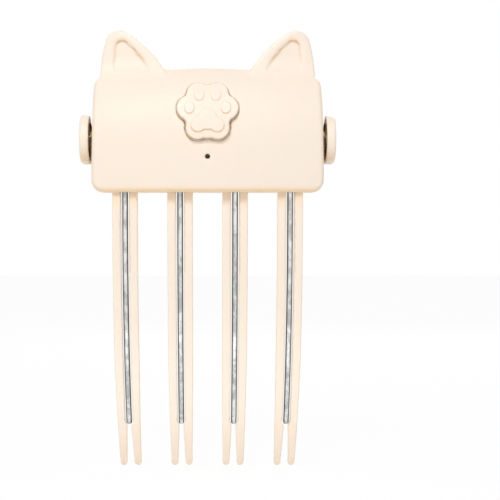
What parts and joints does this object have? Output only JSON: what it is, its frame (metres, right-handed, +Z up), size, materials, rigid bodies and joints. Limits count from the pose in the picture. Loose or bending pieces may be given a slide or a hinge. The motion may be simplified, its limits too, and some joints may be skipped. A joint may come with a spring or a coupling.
{
  "type": "heated hair clip",
  "caption": "Heated hair-root volumizing clip: curved forked comb, hinged rear arm with heated rods, push button and charging socket.",
  "frame": {"origin": "middle of the comb's root, where the forks leave the housing, on the rods' centre line", "axes": "+Z up towards the ears, along the object; the front with the paw button faces -Y; +X to the right of someone facing the front, along the hinge"},
  "size_m": [0.093, 0.0527, 0.1654],
  "materials": {
    "cream_plastic": "satin moulded",
    "rod_steel": "drawn tube",
    "screw_steel": "zinc plated",
    "spring_steel": "drawn wire",
    "brass_washer": "stamped",
    "heater_core": "wound core",
    "dark_holder": "moulded",
    "board": "solder mask",
    "chip_black": "moulded",
    "smoked_lens": "smoked",
    "clear_lamp": "clear",
    "cell_foil": "foil",
    "foam": "closed cell",
    "lead_skin": "insulation",
    "socket_steel": "rolled"
  },
  "bodies": {
    "housing": {"back_cover": "cream_plastic", "battery_cell": "cell_foil", "battery_leads": "lead_skin", "battery_pad": "foam", "board_components": "chip_black", "board_screws": "screw_steel", "circuit_board": "board", "comb": "cream_plastic", "comb_screws": "screw_steel", "cover_screws": "screw_steel", "front_shell": "cream_plastic", "hinge_washer_left": "brass_washer", "hinge_washer_right": "brass_washer", "indicator_led": "clear_lamp", "indicator_lens": "smoked_lens", "power_switch": "chip_black", "torsion_spring_left": "spring_steel", "torsion_spring_right": "spring_steel", "usb_c_socket": "socket_steel"},
    "arm": {"rear_arm": "cream_plastic", "rod_holder": "dark_holder", "holder_screws": "screw_steel", "power_strip": "board", "thermal_sensor": "chip_black", "heater_cores": "heater_core", "heating_rod_1": "rod_steel", "heating_rod_2": "rod_steel", "heating_rod_3": "rod_steel", "heating_rod_4": "rod_steel", "hinge_pin_left": "screw_steel", "hinge_pin_right": "screw_steel", "hinge_cap_left": "cream_plastic", "hinge_cap_right": "cream_plastic", "retaining_clips": "screw_steel"},
    "button": {"paw_button": "cream_plastic", "switch_plunger": "dark_holder"}
  },
  "joints": [
    {"name": "arm_hinge", "type": "hinge", "parent": "housing", "child": "arm", "pos_m": [0, 0.007, 0.0198], "axis": [1, 0, 0], "range_deg": [0, 22], "stiffness_Nm_per_rad": 0.15, "springref_deg": -28.65, "deforming": ["torsion_spring_left", "torsion_spring_right"]},
    {"name": "button_press", "type": "slide", "parent": "housing", "child": "button", "axis": [0, 1, 0], "range_m": [0, 0.0005], "stiffness_N_per_m": 900, "springref_m": -0.0008}
  ]
}
